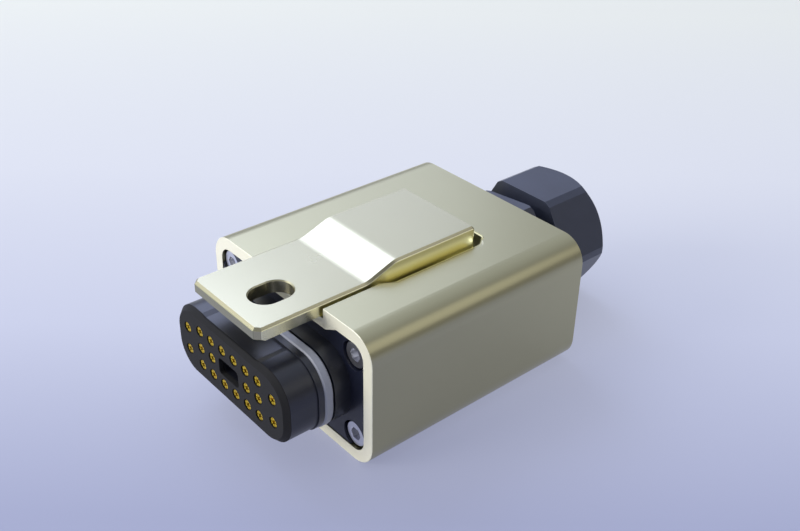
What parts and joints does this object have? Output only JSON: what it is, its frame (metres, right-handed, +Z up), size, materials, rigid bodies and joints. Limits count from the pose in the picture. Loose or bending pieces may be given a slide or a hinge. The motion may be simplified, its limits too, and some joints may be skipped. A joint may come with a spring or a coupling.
{
  "type": "multifunction connector",
  "caption": "Oval-nosed multi-contact plug in a rounded metal housing, with a seal ring, a sprung rocking latch lever on top and a cable gland at the back.",
  "frame": {"origin": "centre of the housing's flat bottom face", "axes": "+Z up, out of the housing's top; +Y from the plug nose towards the cable gland; +X to the right seen from the plug"},
  "size_m": [0.052, 0.0945, 0.0332],
  "materials": {
    "housing_metal": "satin champagne",
    "lever_metal": "satin champagne, machined",
    "pin_steel": "ground",
    "spring_steel": "drawn wire",
    "nose_plastic": "moulded satin",
    "plate_plastic": "moulded satin",
    "seal_rubber": "soft matt",
    "gasket_rubber": "matt",
    "screw_steel": "satin",
    "contact_gold": "gold plated",
    "gland_plastic": "moulded satin",
    "insert_rubber": "matt"
  },
  "bodies": {
    "housing": {"housing_shell": "housing_metal", "pivot_pin": "pin_steel", "lever_spring": "spring_steel", "plug_nose": "nose_plastic", "seal_ring": "seal_rubber", "flange_plate": "plate_plastic", "flange_gasket": "gasket_rubber", "flange_screws": "screw_steel", "contact_carrier": "nose_plastic", "gland_gasket": "gasket_rubber", "gland_body": "gland_plastic", "gland_insert": "insert_rubber", "contact_01": "contact_gold", "contact_02": "contact_gold", "contact_03": "contact_gold", "contact_04": "contact_gold", "contact_05": "contact_gold", "contact_06": "contact_gold", "contact_07": "contact_gold", "contact_08": "contact_gold", "contact_09": "contact_gold", "contact_10": "contact_gold", "contact_11": "contact_gold", "contact_12": "contact_gold", "contact_13": "contact_gold", "contact_14": "contact_gold", "contact_15": "contact_gold", "contact_16": "contact_gold", "contact_17": "contact_gold", "contact_18": "contact_gold", "contact_19": "contact_gold", "contact_20": "contact_gold"},
    "lever": {"latch_lever": "lever_metal"},
    "nut": {"gland_nut": "gland_plastic"}
  },
  "joints": [
    {"name": "lever_rock", "type": "hinge", "parent": "housing", "child": "lever", "pos_m": [0, -0.0135, 0.0279], "axis": [-1, 0, 0], "range_deg": [0, 6.4], "stiffness_Nm_per_rad": 0.8, "springref_deg": -8.59, "deforming": ["lever_spring"]},
    {"name": "nut_turn", "type": "hinge", "parent": "housing", "child": "nut", "pos_m": [0, 0.0447, 0.015], "axis": [0, 1, 0], "continuous": true}
  ]
}
